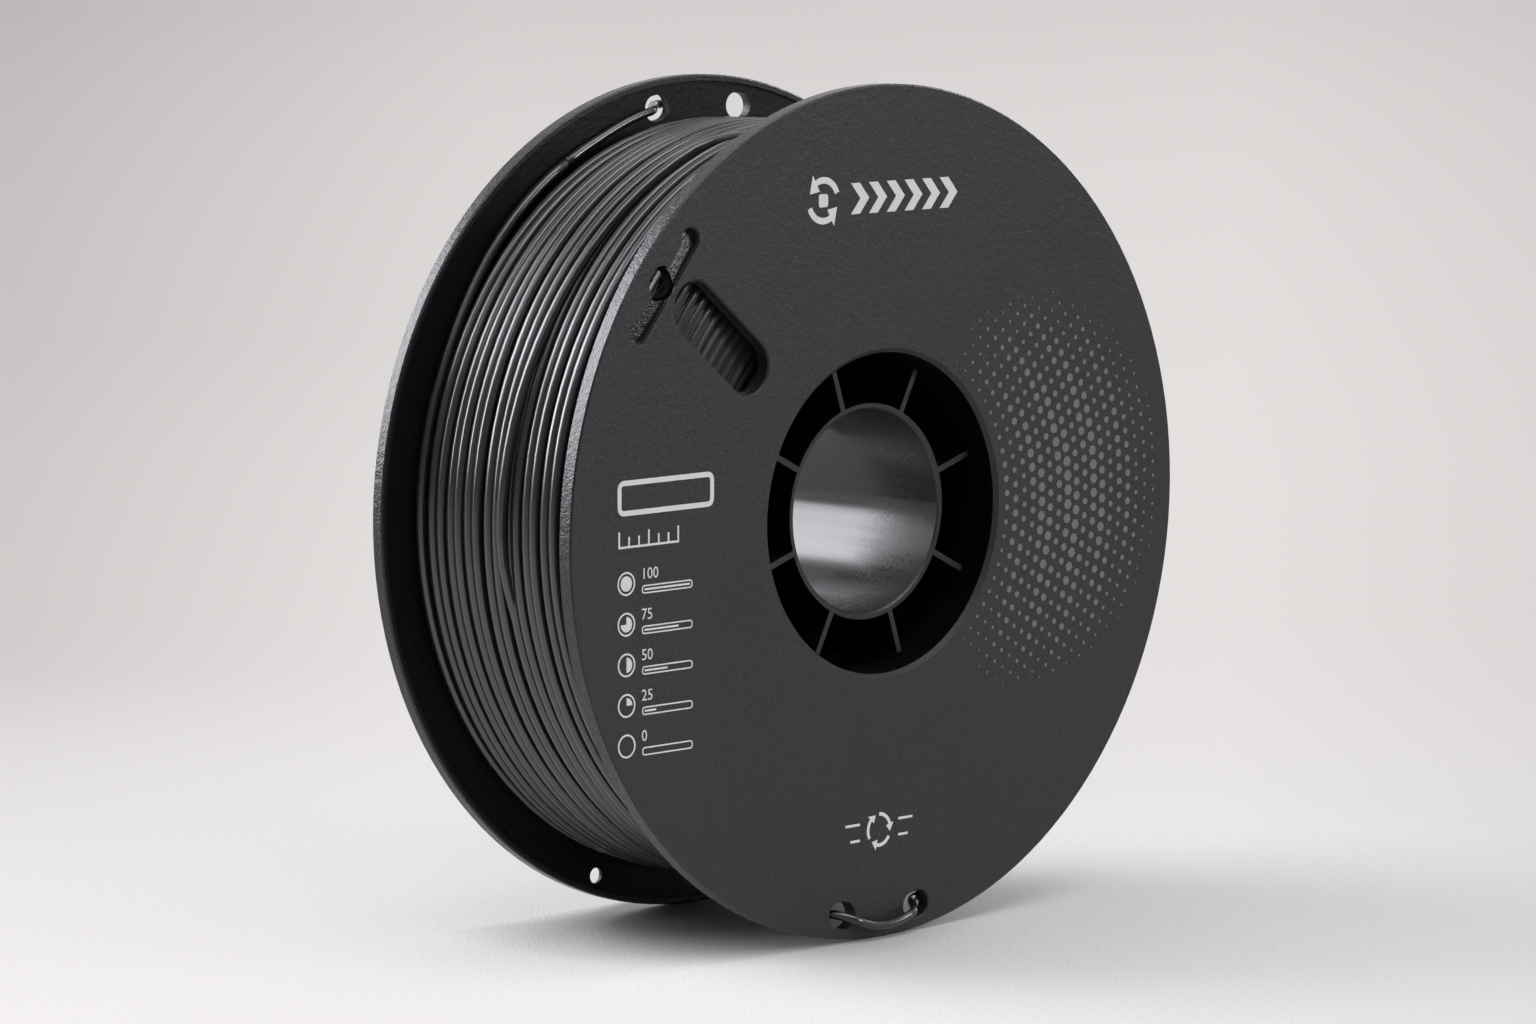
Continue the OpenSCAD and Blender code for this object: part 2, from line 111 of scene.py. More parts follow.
class Nodes:
    """Short ways to add nodes to a tree."""

    def __init__(self, tree):
        self.tree = tree

    def put(self, socket, value):
        if isinstance(value, bpy.types.NodeSocket):
            self.tree.links.new(value, socket)
        else:
            socket.default_value = value

    def add(self, kind, inputs=None, **settings):
        node = self.tree.nodes.new("ShaderNode" + kind)
        for key, value in settings.items():
            setattr(node, key, value)
        for key, value in (inputs or {}).items():
            self.put(node.inputs[key], value)
        return node

    def place(self):
        return self.add("TexCoord").outputs["Object"]

    def scaled(self, at, scale):
        return self.add("Mapping", {"Vector": at, "Scale": scale}).outputs[0]

    def noise(self, at, scale, detail=3.0, rough=0.5):
        node = self.add("TexNoise", {"Vector": at, "Scale": scale, "Detail": detail, "Roughness": rough})
        return node.outputs["Fac"]

    def vector(self, operation, a, b=(0.0, 0.0, 0.0)):
        return self.add("VectorMath", {0: a, 1: b}, operation=operation).outputs["Value"]

    def math(self, operation, a, b=0.0):
        return self.add("Math", {0: a, 1: b}, operation=operation).outputs[0]

    def product(self, first, *others):
        for other in others:
            first = self.math("MULTIPLY", first, other)
        return first

    def within(self, value, low, high):
        """1 where the value lies between two limits given in millimetres, and 0 elsewhere."""
        above = self.math("GREATER_THAN", value, low * MM)
        return self.product(above, self.math("LESS_THAN", value, high * MM))

    def distance(self, x, z, x_mm=0.0, z_mm=0.0):
        """How far (x, z) lies from a line along the axis, whose place is given in millimetres."""
        across = self.math("POWER", self.math("SUBTRACT", x, x_mm * MM), 2.0)
        up = self.math("POWER", self.math("SUBTRACT", z, z_mm * MM), 2.0)
        return self.math("SQRT", self.math("ADD", across, up))

    def ramp(self, value, lo, hi, out_lo=0.0, out_hi=1.0, **settings):
        return self.add("MapRange", {0: value, 1: lo, 2: hi, 3: out_lo, 4: out_hi}, **settings).outputs[0]

    def blend(self, factor, a, b):
        """Mix of two numbers."""
        return self.add("Mix", {0: factor, 2: a, 3: b}).outputs[0]

    def mix(self, factor, a, b):
        """Mix of two colours."""
        return self.add("Mix", {0: factor, 6: a, 7: b}, data_type="RGBA").outputs[2]

    def bump(self, height, distance, strength=1.0, normal=None):
        node = self.add("Bump", {"Height": height, "Distance": distance, "Strength": strength})
        if normal is not None:
            self.put(node.inputs["Normal"], normal)
        return node.outputs["Normal"]


class Graph(Nodes):
    """A material and its nodes."""

    def __init__(self, name, **sockets):
        self.mat = bpy.data.materials.new(name)
        self.mat.use_nodes = True
        super().__init__(self.mat.node_tree)
        self.shader = self.tree.nodes["Principled BSDF"]
        self.output = self.tree.nodes["Material Output"]
        for key, value in sockets.items():
            self.set(key.replace("_", " "), value)

    def set(self, key, value):
        self.put(self.shader.inputs[key], value)


def grey(level, tint=(1.0, 1.0, 1.0)):
    return (level * tint[0], level * tint[1], level * tint[2], 1.0)


def paint(obj, mat):
    obj.data.materials.clear()
    obj.data.materials.append(mat)


FLOOR_Z = -SPOOL_R * MM
FLOOR_R = 14.0
FLOOR_SIDES = 48
WARM = (1.0, 0.966, 0.955)
BACKDROP = grey(0.755, WARM)
# The share of the floor's glow that the object gets as light and as a reflection
FLOOR_BOUNCE = 0.5
FLOOR_MIRRORED = 0.95
# Middles, in metres, of the shadow painted on the floor between the rims and of the part round the object
# that glows less
PAINTED_SHADOW_AT = (-0.012, 0.015, 0)
CONTACT_AT = (-0.02, -0.005, 0)
# Makes x + y, which grows along the camera's view, start from 0 near the camera
CAMERA_BACK = 2.08


def floor_material():
    """Pale floor that takes on the backdrop's colour far from the object, with a shadow painted between the
    rims.
    """
    g = Graph("floor", Roughness=0.85)
    at = g.place()
    x, y, _ = g.add("SeparateXYZ", {0: at}).outputs
    flat = g.scaled(at, (1, 1, 0))
    far = g.vector("LENGTH", flat)
    under = g.vector("DISTANCE", flat, PAINTED_SHADOW_AT)
    near = g.vector("DISTANCE", flat, CONTACT_AT)
    onward = g.math("ADD", g.math("ADD", y, x), CAMERA_BACK)
    aside = g.math("DIVIDE", g.math("SUBTRACT", y, x), g.math("MAXIMUM", onward, 1.0))

    grain = g.ramp(g.noise(at, 1100.0, 4.0, 0.6), 0.35, 0.65)
    # Painted shadow: the floor's colour goes to black between the rims, with a sharp edge near the far
    # flange and a soft one to the left.
    edge = g.ramp(x, -0.045, -0.015, 0.022, 0.037)
    shade = g.math("MAXIMUM", g.ramp(under, 0.018, 0.065, 0.28, 1.0), g.ramp(y, edge, 0.043))
    pale = g.mix(grain, grey(0.70, WARM), grey(0.82, WARM))
    g.set("Base Color", g.mix(shade, grey(0.0), pale))
    g.set("Normal", g.bump(grain, 0.0001, 0.5))

    # The glow fades near the object, and fades out over the painted shadow between the rims as well.
    fade = g.product(
        g.ramp(far, 0.12, 0.6, 0.74, interpolation_type="SMOOTHSTEP"),
        g.ramp(near, 0.012, g.ramp(aside, -0.06, 0.03, 0.25, 0.12)),
        g.ramp(under, 0.025, 0.07),
    )
    # The glow's level is graded over the floor, mostly darker far off, to the sides and close to the camera:
    # painted light and shade on the backdrop.
    left_edge = g.ramp(onward, 2.2, 2.65, 1.0, 0.79)
    left_middle = g.ramp(onward, 2.9, 4.2, 1.07, 1.0)
    level = g.product(*(g.ramp(*row) for row in (
        (aside, 0.05, 0.125, 1.0, left_edge),
        (aside, -0.07, -0.125, 1.0, 0.9),
        (aside, 0.0, 0.06, 1.0, left_middle),
        (far, 1.0, 5.5, 1.0, 0.86),
        (aside, -0.13, -0.6, 1.0, 0.62),
        (aside, -0.08, 0.08, 1.03, 0.98),
        (onward, 1.9, 2.2, 1.12, 1.0),
        (onward, 1.1, 1.85, 0.6, 1.0),
    )))
    level = g.blend(g.ramp(far, 6.0, 11.0), level, 1.0)
    path = g.add("LightPath").outputs
    bounced = g.ramp(path["Is Glossy Ray"], 0.0, 1.0, FLOOR_BOUNCE, FLOOR_MIRRORED)
    seen = g.math("MAXIMUM", path["Is Camera Ray"], bounced)
    level = g.product(level, g.ramp(grain, 0.0, 1.0, 0.97, 1.03), seen)
    glow = g.add("Emission", {"Color": BACKDROP, "Strength": level})
    both = g.add("MixShader", {0: fade, 1: g.shader.outputs[0], 2: glow.outputs[0]})
    g.put(g.output.inputs["Surface"], both.outputs[0])
    return g.mat


def make_floor():
    points = [(FLOOR_R * math.cos(TAU * i / FLOOR_SIDES), FLOOR_R * math.sin(TAU * i / FLOOR_SIDES), FLOOR_Z)
              for i in range(FLOOR_SIDES)]
    floor = mesh_object("floor", points, [list(range(FLOOR_SIDES))], floor_material())


WORLD_LIGHT = 0.03
# Glossy rays see the room at full level ahead of the camera, and at this one behind it
ROOM_LEVEL = 0.25
BACKDROP_SIDE = (0.7, 0.7, 0.0)


def make_world():
    """Soft fill for the object, and the plain backdrop for what looks at it directly."""
    world = bpy.data.worlds.new("studio")
    bpy.context.scene.world = world
    world.use_nodes = True
    g = Nodes(world.node_tree)
    g.tree.nodes.clear()
    path = g.add("LightPath").outputs
    mirrored = g.math("MAXIMUM", path["Is Glossy Ray"], path["Is Transmission Ray"])
    seen = g.add("Math", {0: path["Is Camera Ray"], 1: mirrored}, operation="ADD", use_clamp=True).outputs[0]
    ahead = g.vector("DOT_PRODUCT", g.add("TexCoord").outputs["Generated"], BACKDROP_SIDE)
    room = g.ramp(ahead, -0.4, 0.6, ROOM_LEVEL, 1.0, interpolation_type="SMOOTHSTEP")
    level = g.math("MAXIMUM", room, path["Is Camera Ray"])
    fill = g.add("Background", {"Color": grey(1.0, (0.99, 0.995, 1.0)), "Strength": WORLD_LIGHT})
    backdrop = g.add("Background", {"Color": BACKDROP, "Strength": level})
    both = g.add("MixShader", {0: seen, 1: fill.outputs[0], 2: backdrop.outputs[0]})
    g.add("OutputWorld", {"Surface": both.outputs[0]})


COOL = (0.97, 0.985, 1.03)
# Name, place and size in metres, and radiance, so that size and distance set how much a lamp lights
LAMPS = (
    ("rear_left", (-1.3, 2.0, 1.1), (2.1, 1.8), 8.5),
    ("top_left", (-1.6, 0.6, 2.0), (1.6, 1.6), 2.5),
    ("right", (2.6, 0.5, 0.8), (1.8, 1.2), 3.0),
    ("front_right", (0.5, -0.94, 0.4), (0.36, 0.28), 11.0),
    ("front_left", (-1.5, -1.4, 1.9), (1.0, 1.0), 1.5),
    ("top", (0.1, -0.9, 2.3), (2.2, 1.2), 2.9),
)


def make_lights():
    """Rectangular lamps that all face the object."""
    for name, at, size, radiance in LAMPS:
        data = bpy.data.lights.new(name, "AREA")
        data.shape = "RECTANGLE"
        data.size, data.size_y = size
        data.energy = radiance * math.pi * size[0] * size[1]
        data.color = COOL
        lamp = add_object(name, data)
        lamp.location = at
        lamp.rotation_mode = "QUATERNION"
        lamp.rotation_quaternion = (-Vector(at)).to_track_quat("-Z", "Y")
        lamp.visible_camera = False


# ---------------------------------------------------------------- materials

SMOOTH = 0.22
# Radii between which the rims' smooth band begins, and between which the bore's polish ends
RIM_EDGE = (99.4 * MM, 99.8 * MM)
BORE_EDGE = (24.45 * MM, 24.6 * MM)
# The far flange's inner face, painted darker as shade, lies nearer than this along the axis, and inside this
# radius
FLANGE_INSIDE = 31.2
BAND_IN_R = 98.6


def moulded(name, level, deep, polished=None, bore=False):
    """Charcoal plastic with a fine moulded grain, painted near black as shade inside the hub. The bore, if
    any, is polished, and the far flange's inner face is then painted darker as shade.

    deep is the inner and outer radius and the reach along the axis, in millimetres, of the part inside the
    hub that is painted near black as shade.
    polished is the centre and radius of a part of the face that is smooth below the surface, and
    the radius of the hole in it, which is painted near black as shade as well.
    """
    tint = (0.9, 0.92, 1.12)
    g = Graph(name, IOR=1.48)
    at = g.place()
    x, y, z = g.add("SeparateXYZ", {0: at}).outputs
    from_axis = g.distance(x, z)
    fine = g.noise(at, 2100.0, 2.0)
    patch = g.noise(at, 38.0, 4.0)
    leather = g.noise(at, 620.0, 4.0, 0.6)
    shade = g.math("ADD", g.math("MULTIPLY", fine, 0.55), g.math("MULTIPLY", patch, 0.45))
    base = g.mix(g.ramp(shade, 0.3, 0.7), grey(level * 0.8, tint), grey(level * 1.2, tint))
    dull = g.blend(g.ramp(from_axis, *RIM_EDGE), g.ramp(patch, 0.3, 0.7, 0.42, 0.5), SMOOTH)
    shine = 0.5
    normal = g.bump(leather, 0.00028, 0.8, g.bump(fine, 0.00014, 0.8))
    # Painted shade: inside the hub the plastic is near black, dull and barely glossy.
    painted_shade = g.product(g.within(from_axis, *deep[:2]), g.within(y, *deep[2:]))
    if polished:
        x_mm, z_mm, reach, pocket = polished
        away = g.distance(x, z, x_mm, z_mm)
        sunk = g.product(g.math("LESS_THAN", away, reach * MM), g.math("GREATER_THAN", y, (0.5 - FACE) * MM))
        dull = g.blend(sunk, dull, SMOOTH)
        # The clip's hole is painted near black as shade too.
        painted_shade = g.math("MAXIMUM", painted_shade, g.product(sunk, g.math("LESS_THAN", away, pocket * MM)))
    if bore:
        outside = g.ramp(from_axis, *BORE_EDGE)
        streaks = g.noise(g.scaled(at, (1, 0.04, 1)), 420.0, 2.0)
        shiny = g.math("ADD", g.ramp(streaks, 0.3, 0.7, 0.16, 0.25), g.ramp(y, -2 * MM, -28 * MM, 0.0, 0.17))
        speckle = g.ramp(g.noise(at, 1100.0, 3.0), 0.4, 0.7, -0.06, 0.1)
        shiny = g.math("ADD", shiny, g.product(speckle, g.ramp(y, 0.0, -20 * MM)))
        dull = g.blend(outside, shiny, dull)
        normal = g.add("Mix", {0: outside, 4: g.add("NewGeometry").outputs["Normal"], 5: normal},
                       data_type="VECTOR").outputs[1]
        # Painted shade between the flanges: the far flange's inner face is darker and less glossy.
        painted_far_shade = g.product(g.within(from_axis, CORE_R, BAND_IN_R),
                               g.math("LESS_THAN", y, FLANGE_INSIDE * MM))
        base = g.mix(painted_far_shade, base, grey(level * 0.4, tint))
        shine = g.blend(outside, 0.68, g.blend(painted_far_shade, shine, 0.25))
    g.set("Base Color", g.mix(painted_shade, base, grey(0.003)))
    g.set("Specular IOR Level", g.blend(painted_shade, shine, 0.04))
    g.set("Roughness", g.blend(painted_shade, dull, 0.9))
    g.set("Normal", normal)
    return g.mat


def filament_material(name, level, shine=0.5, unshaded_r=None):
    """Satin strand with faint streaks along it, read from each piece's lay attribute.

    The last argument is four radii in millimetres: outside them the strand is painted near black and rough
    as shade.
    It fades in from that painted shade over the first two and out again over the last two.
    """
    tint = (0.93, 0.98, 1.07)
    g = Graph(name, IOR=1.55, Specular_IOR_Level=shine)
    lay = g.add("Attribute", attribute_name="lay").outputs["Vector"]
    streak = g.noise(g.scaled(lay, (2.5, 4.2, 4.2)), 1.0, 4.0)
    cloud = g.noise(g.scaled(lay, (14.0, 0.4, 0.4)), 1.0, 2.0)
    shade = g.math("ADD", g.math("MULTIPLY", streak, 0.5), g.math("MULTIPLY", cloud, 0.5))
    base = g.mix(g.ramp(shade, 0.3, 0.7), grey(level * 0.6, tint), grey(level * 1.4, tint))
    rough = g.ramp(streak, 0.3, 0.7, 0.14, 0.26)
    if unshaded_r:
        x, _, z = g.add("SeparateXYZ", {0: g.place()}).outputs
        from_axis = g.distance(x, z)
        rise, full, fall, end = (r * MM for r in unshaded_r)
        # Outside this band of radii the strand is painted near black and rough, as shade in the layers
        # below.
        plain = g.product(g.ramp(from_axis, rise, full), g.ramp(from_axis, fall, end, 1.0, 0.0))
        base = g.mix(plain, grey(0.002), base)
        rough = g.blend(plain, 0.65, rough)
    g.set("Base Color", base)
    g.set("Roughness", rough)
    g.set("Normal", g.bump(streak, 0.00006, 0.6))
    return g.mat


def card_material():
    """Brown board wound in a spiral, with fibres and the seam of its strips."""
    g = Graph("core_board", Roughness=0.88)
    at = g.place()
    x, y, z = g.add("SeparateXYZ", {0: at}).outputs
    turn = g.math("DIVIDE", g.math("ARCTAN2", x, z), TAU)
    wound = g.math("ADD", g.math("MULTIPLY", y, 14.0), turn)
    seam = g.ramp(g.math("PINGPONG", wound, 0.5), 0.0, 0.02, 0.75, 1.0)
    fibre = g.noise(g.scaled(at, (1, 0.2, 1)), 900.0, 5.0)
    brown = g.mix(g.ramp(fibre, 0.3, 0.7), (0.30, 0.20, 0.11, 1), (0.40, 0.28, 0.165, 1))
    g.set("Base Color", g.mix(seam, (0.20, 0.13, 0.07, 1), brown))
    g.set("Normal", g.bump(fibre, 0.00008, 0.6))
    return g.mat


def grainy(name, rough, scale, detail, spread, colours, depth):
    """One colour with a fine grain, for what is too small or too hidden to show more."""
    g = Graph(name, Roughness=rough)
    grain = g.noise(g.place(), scale, detail)
    g.set("Base Color", g.mix(g.ramp(grain, *spread), *colours))
    g.set("Normal", g.bump(grain, depth, 0.4))
    return g.mat


def tag_material():
    """White label film."""
    film = (grey(0.66, (1, 1, 0.96)), grey(0.74, (1, 1, 0.97)))
    return grainy("tag_film", 0.42, 700.0, 3.0, (0.3, 0.7), film, 0.00002)


def ink(name, level, tint=(1.0, 1.0, 1.0)):
    """Printed ink, a little uneven where it sits on the grain."""
    return grainy(name, 0.5, 2600.0, 2.0, (0.32, 0.6), (grey(level * 0.9, tint), grey(level, tint)), 0.00003)


# ---------------------------------------------------------------- mesh helpers


def polar(angle, r, y):
    """A point in metres from degrees round the axis, radius and place along Y in millimetres."""
    a = math.radians(angle)
    return Vector((r * math.cos(a), y, r * math.sin(a))) * MM


def around(x, z, r, angle):
    """The point at an angle in degrees on the circle of radius r round (x, z)."""
    a = math.radians(angle)
    return x + r * math.cos(a), z + r * math.sin(a)


def ease(t):
    t = min(max(t, 0.0), 1.0)
    return t * t * (3 - 2 * t)


def mix(a, b, t):
    return a + (b - a) * t


def mesh_object(name, verts, faces, mat):
    mesh = bpy.data.meshes.new(name)
    mesh.from_pydata([tuple(v) for v in verts], [], faces)
    mesh.update()
    obj = add_object(name, mesh)
    paint(obj, mat)
    return obj


def piece(name, verts, faces, mat, body):
    obj = mesh_object(name, verts, faces, mat)
    obj.data.shade_smooth()
    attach(obj, body)
    return obj


class Strands:
    """Round tubes collected into one mesh, with how far along and around each point lies."""

    def __init__(self):
        self.verts, self.faces, self.lay = [], [], []

    def add(self, path, r, sides, start=0.0):
        """A tube along the path, closed at both ends by a small bevel and a flat cap.

        r is one radius, or one for each point of the path.
        """
        path = np.array([tuple(p) for p in path])
        r = np.array(r) * np.ones(len(path))
        ahead = np.vstack([path[1:], path[-1:]])
        behind = np.vstack([path[:1], path[:-1]])
        t = ahead - behind
        t /= np.linalg.norm(t, axis=1)[:, None]
        out = path * np.array([1.0, 0.0, 1.0])
        out /= np.linalg.norm(out, axis=1)[:, None]
        side = np.cross(t, out)
        side /= np.linalg.norm(side, axis=1)[:, None]
        up = np.cross(side, t)
        run = np.concatenate([[0.0], np.cumsum(np.linalg.norm(np.diff(path, axis=0), axis=1))]) + start
        bevel = 0.2 * r[[0, -1]]
        centres = np.vstack([path[:1], path[:1] + t[:1] * bevel[0], path[1:-1],
                             path[-1:] - t[-1:] * bevel[1], path[-1:]])
        index = np.array([0, 0, *range(1, len(path) - 1), len(path) - 1, len(path) - 1])
        radii = r[index]
        radii[[0, -1]] -= bevel
        base = len(self.verts)
        for n, i in enumerate(index):
            for k in range(sides):
                a = TAU * k / sides
                self.verts.append(centres[n] + radii[n] * (math.cos(a) * up[i] + math.sin(a) * side[i]))
                self.lay.append((run[i], math.cos(a), math.sin(a)))
        for n in range(len(index) - 1):
            for k in range(sides):
                a, b = base + n * sides + k, base + n * sides + (k + 1) % sides
                self.faces.append((a, b, b + sides, a + sides))
        last = base + (len(index) - 1) * sides
        self.faces.append(tuple(base + k for k in reversed(range(sides))))
        self.faces.append(tuple(last + k for k in range(sides)))

    def make(self, name, mat, body, slot):
        obj = piece(name, self.verts, self.faces, mat, body)
        set_lay(obj, self.lay)
        return obj


def set_lay(obj, values):
    attribute = obj.data.attributes.new("lay", "FLOAT_VECTOR", "POINT")
    attribute.data.foreach_set("vector", np.array(values, dtype=np.float32).ravel())


# ---------------------------------------------------------------- wound filament


# Least gap between two turns of the outer layer
TURN_GAP = 0.02
# Points on each ridge in the section of the layers below
ROW_POINTS = 7


def gap_share(s):
    """How wide the gap after the strand at s turns is, before all gaps are scaled to fit."""
    return math.exp(1.3 * math.sin(TAU * 0.5 * s + 1.0) + 0.5 * math.sin(TAU * 0.13 * s + 2.0)
                    + 0.3 * math.sin(TAU * 0.37 * s + 4.1))


def layer_lines(rings):
    """Place along the axis of each ring of the outer layer, so that turns bunch but never meet."""
    steps = round(LAYER_TURNS * rings)
    width = LAYER_FRONT - LAYER_REAR
    room = width - LAYER_TURNS * (FILAMENT_D + TURN_GAP)
    spare = []
    for i in range(steps + 1):
        whole, part = divmod(i, rings)
        spare.append(part / rings * gap_share(0.0) if whole == 0
                     else spare[i - rings] + gap_share((i - rings) / rings))
    return [LAYER_REAR + i / rings * (FILAMENT_D + TURN_GAP) + room * spare[i] / spare[-1]
            for i in range(steps + 1)]


def outer_layer_path(rings=108):
    lines = layer_lines(rings)
    steps = len(lines) - 1
    climb_rings = CLIMB_ARC / 360 * rings
    path = []
    for i, line in enumerate(lines):
        s = i / rings
        climb = END_CLIMB * (ease(1 - i / climb_rings) + ease((i - steps) / climb_rings + 1))
        wander = 0.2 * math.sin(TAU * 0.83 * s + 1.0) + 0.1 * math.sin(TAU * 2.21 * s)
        path.append(polar(LAYER_START + 360 * s, LAYER_R + climb + wander * (climb < 0.01), -line))
    return path


def make_filament(mat):
    layer = Strands()
    layer.add(outer_layer_path(), FILAMENT_R * MM, 16)
    # Strands of the next layer: degrees where each starts and ends, and its place along the axis there
    for start, stop, y_start, y_stop in (
        (150, 262, 24.5, 27.0),
        (96, 196, 5.0, 1.0),
        (-60, 60, 6.0, 15.0),
        (-20, 84, -14.0, -5.0),
    ):
        path = []
        count = round(abs(stop - start) / 4)
        for i in range(count + 1):
            t = i / count
            rise = ease(min(t, 1 - t) * (stop - start) / 16)
            y = mix(y_start, y_stop, ease(t))
            path.append(polar(mix(start, stop, t), LAYER_R - 0.6 + 3.1 * rise, -y))
        layer.add(path, FILAMENT_R * MM, 12, start=start)
    turns = layer.make("filament_turns", mat, "rear", "filament")
    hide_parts("filament_outer_layer")


def wound_profile():
    """Half section of the layers below, as (radius, place along the axis), ridged by every turn.

    Each row lies a little deeper by chance, and the rows nearer to the core lie deeper still.
    """
    rng = random.Random(7)
    rows, lanes = 14, 19
    pitch = (LAYER_CORE_R - WOUND_IN_R) / rows
    front, crown, rear = [], [], []
    for side, face in ((front, CORE_FRONT), (rear, CORE_REAR)):
        sign = 1 if face > 0 else -1
        for i in range(rows):
            centre = WOUND_IN_R + (i + 0.5) * pitch
            sunk = rng.uniform(0.0, 0.45) + 2.2 * ease((78.0 - centre) / 20.0)
            for k in range(ROW_POINTS):
                a = math.pi * (k + 0.5) / ROW_POINTS
                deep = sunk + FILAMENT_R * (1 - math.sin(a))
                side.append((centre - 0.49 * pitch * math.cos(a), face - sign * deep))
    lane = (CORE_FRONT - CORE_REAR - 2.0) / lanes
    for i in range(lanes):
        middle = CORE_FRONT - 1.0 - (i + 0.5) * lane
        for k in range(5):
            a = math.pi * (k + 0.5) / 5
            crown.append((LAYER_CORE_R - 0.5 + 1.1 * math.sin(a), middle + 0.49 * lane * math.cos(a)))
    return front + crown + rear[::-1]


def make_inner_layers(mat):
    profile = wound_profile()
    count, n = 160, len(profile)
    verts, lay = [], []
    for i in range(count):
        a = 360 * i / count
        for k, (r, y) in enumerate(profile):
            row = k // ROW_POINTS
            wobble = 0.12 * math.sin(math.radians(a * (1 + row % 3)) + row)
            verts.append(polar(a, r + wobble, -y))
            lay.append((math.radians(a) * r * MM, math.cos(k), math.sin(k)))
    faces = []
    for i in range(count):
        j = (i + 1) % count
        for k in range(n):
            m = (k + 1) % n
            faces.append((i * n + k, i * n + m, j * n + m, j * n + k))
    obj = piece("filament_package", verts, faces, mat, "rear")
    set_lay(obj, lay)
    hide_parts("filament_inner_layers")


# Millimetres that an end's first point, and the point where it starts to bend, lie past the layer
END_JOIN = 0.05
END_LEAD = FILAMENT_D + 2 * SOFT_GAP + 2.6
# Degrees between an end's points, and how many of them it takes to get thinner
END_STEP = 0.6
THINNING_POINTS = 12


def end_start(sign):
    """The outer layer's own last or first point and the direction round the axis there."""
    angle = LAYER_START + (360 * LAYER_TURNS if sign > 0 else 0)
    line = LAYER_FRONT if sign > 0 else LAYER_REAR
    at = polar(angle, LAYER_R + END_CLIMB, -line)
    a = math.radians(angle)
    return at, Vector((-math.sin(a), 0, math.cos(a))) * sign * MM


def end_points(sign):
    """The two points where an end leaves the layer, and the second one's angle and radius."""
    at, along = end_start(sign)
    close, away = at + along * END_JOIN, at + along * END_LEAD
    return close, away, math.degrees(math.atan2(away.z, away.x)), math.hypot(away.x, away.z) / MM


def make_end(name, path, radii, mat, body, node):
    strand = Strands()
    strand.add(path, radii, 16)
    obj = strand.make(name, mat, body, "filament")
    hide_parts(node)


def end_radii(count):
    """Radii in metres along an end, which is drawn thinner past the layer that it leaves."""
    return [mix(FILAMENT_R, END_R, ease(i / THINNING_POINTS)) * MM for i in range(count)]


def make_front_end(mat):
    """Round to the near flange, out through one tie hole and in through the other."""
    close, away, begin, r_begin = end_points(1)
    begin += 1.0
    first, second = FRONT_TIES
    path = [close, mix(close, away, 0.5), away]
    a = begin
    while a < second + TAIL_ARC:
        if a < first:
            r = mix(r_begin, FRONT_TIE_R, ease((a - begin) / (first - begin)))
        elif a > second:
            r = FRONT_TIE_R
        else:
            r = FRONT_TIE_R + BOW * math.sin(math.pi * (a - first) / (second - first))
        share = ease((a - first) / CROSS_ARC + 0.5) - ease((a - second) / CROSS_ARC + 0.5)
        path.append(polar(a, r, -mix(LAYER_FRONT, FRONT_OUT, share)))
        a += END_STEP
    make_end("filament_tail_front", path, end_radii(len(path)), mat, "front", "filament_end_front")


def make_rear_end(mat):
    """Out through the far flange's tie hole."""
    close, away, finish, r_finish = end_points(-1)
    path = []
    a = REAR_TIE - TAIL_ARC
    while a < finish - 0.3:
        r = mix(REAR_TIE_R, r_finish, ease((a - REAR_TIE) / (finish - REAR_TIE)))
        y = mix(-FRONT_OUT, LAYER_REAR, ease((a - REAR_TIE) / CROSS_ARC + 0.5))
        path.append(polar(a, r, -y))
        a += END_STEP
    path += [away, mix(away, close, 0.5), close]
    make_end("filament_tail_rear", path, end_radii(len(path))[::-1], mat, "rear", "filament_end_rear")


# ---------------------------------------------------------------- print on the front face

INK_BACK = FACE - 0.02
INK_FRONT = FACE + 0.04
# Height of the built-in font's figures at size 1
FIGURE_HEIGHT = 0.69
# Steps of 10 degrees in a full pie
PIE_PARTS = 36


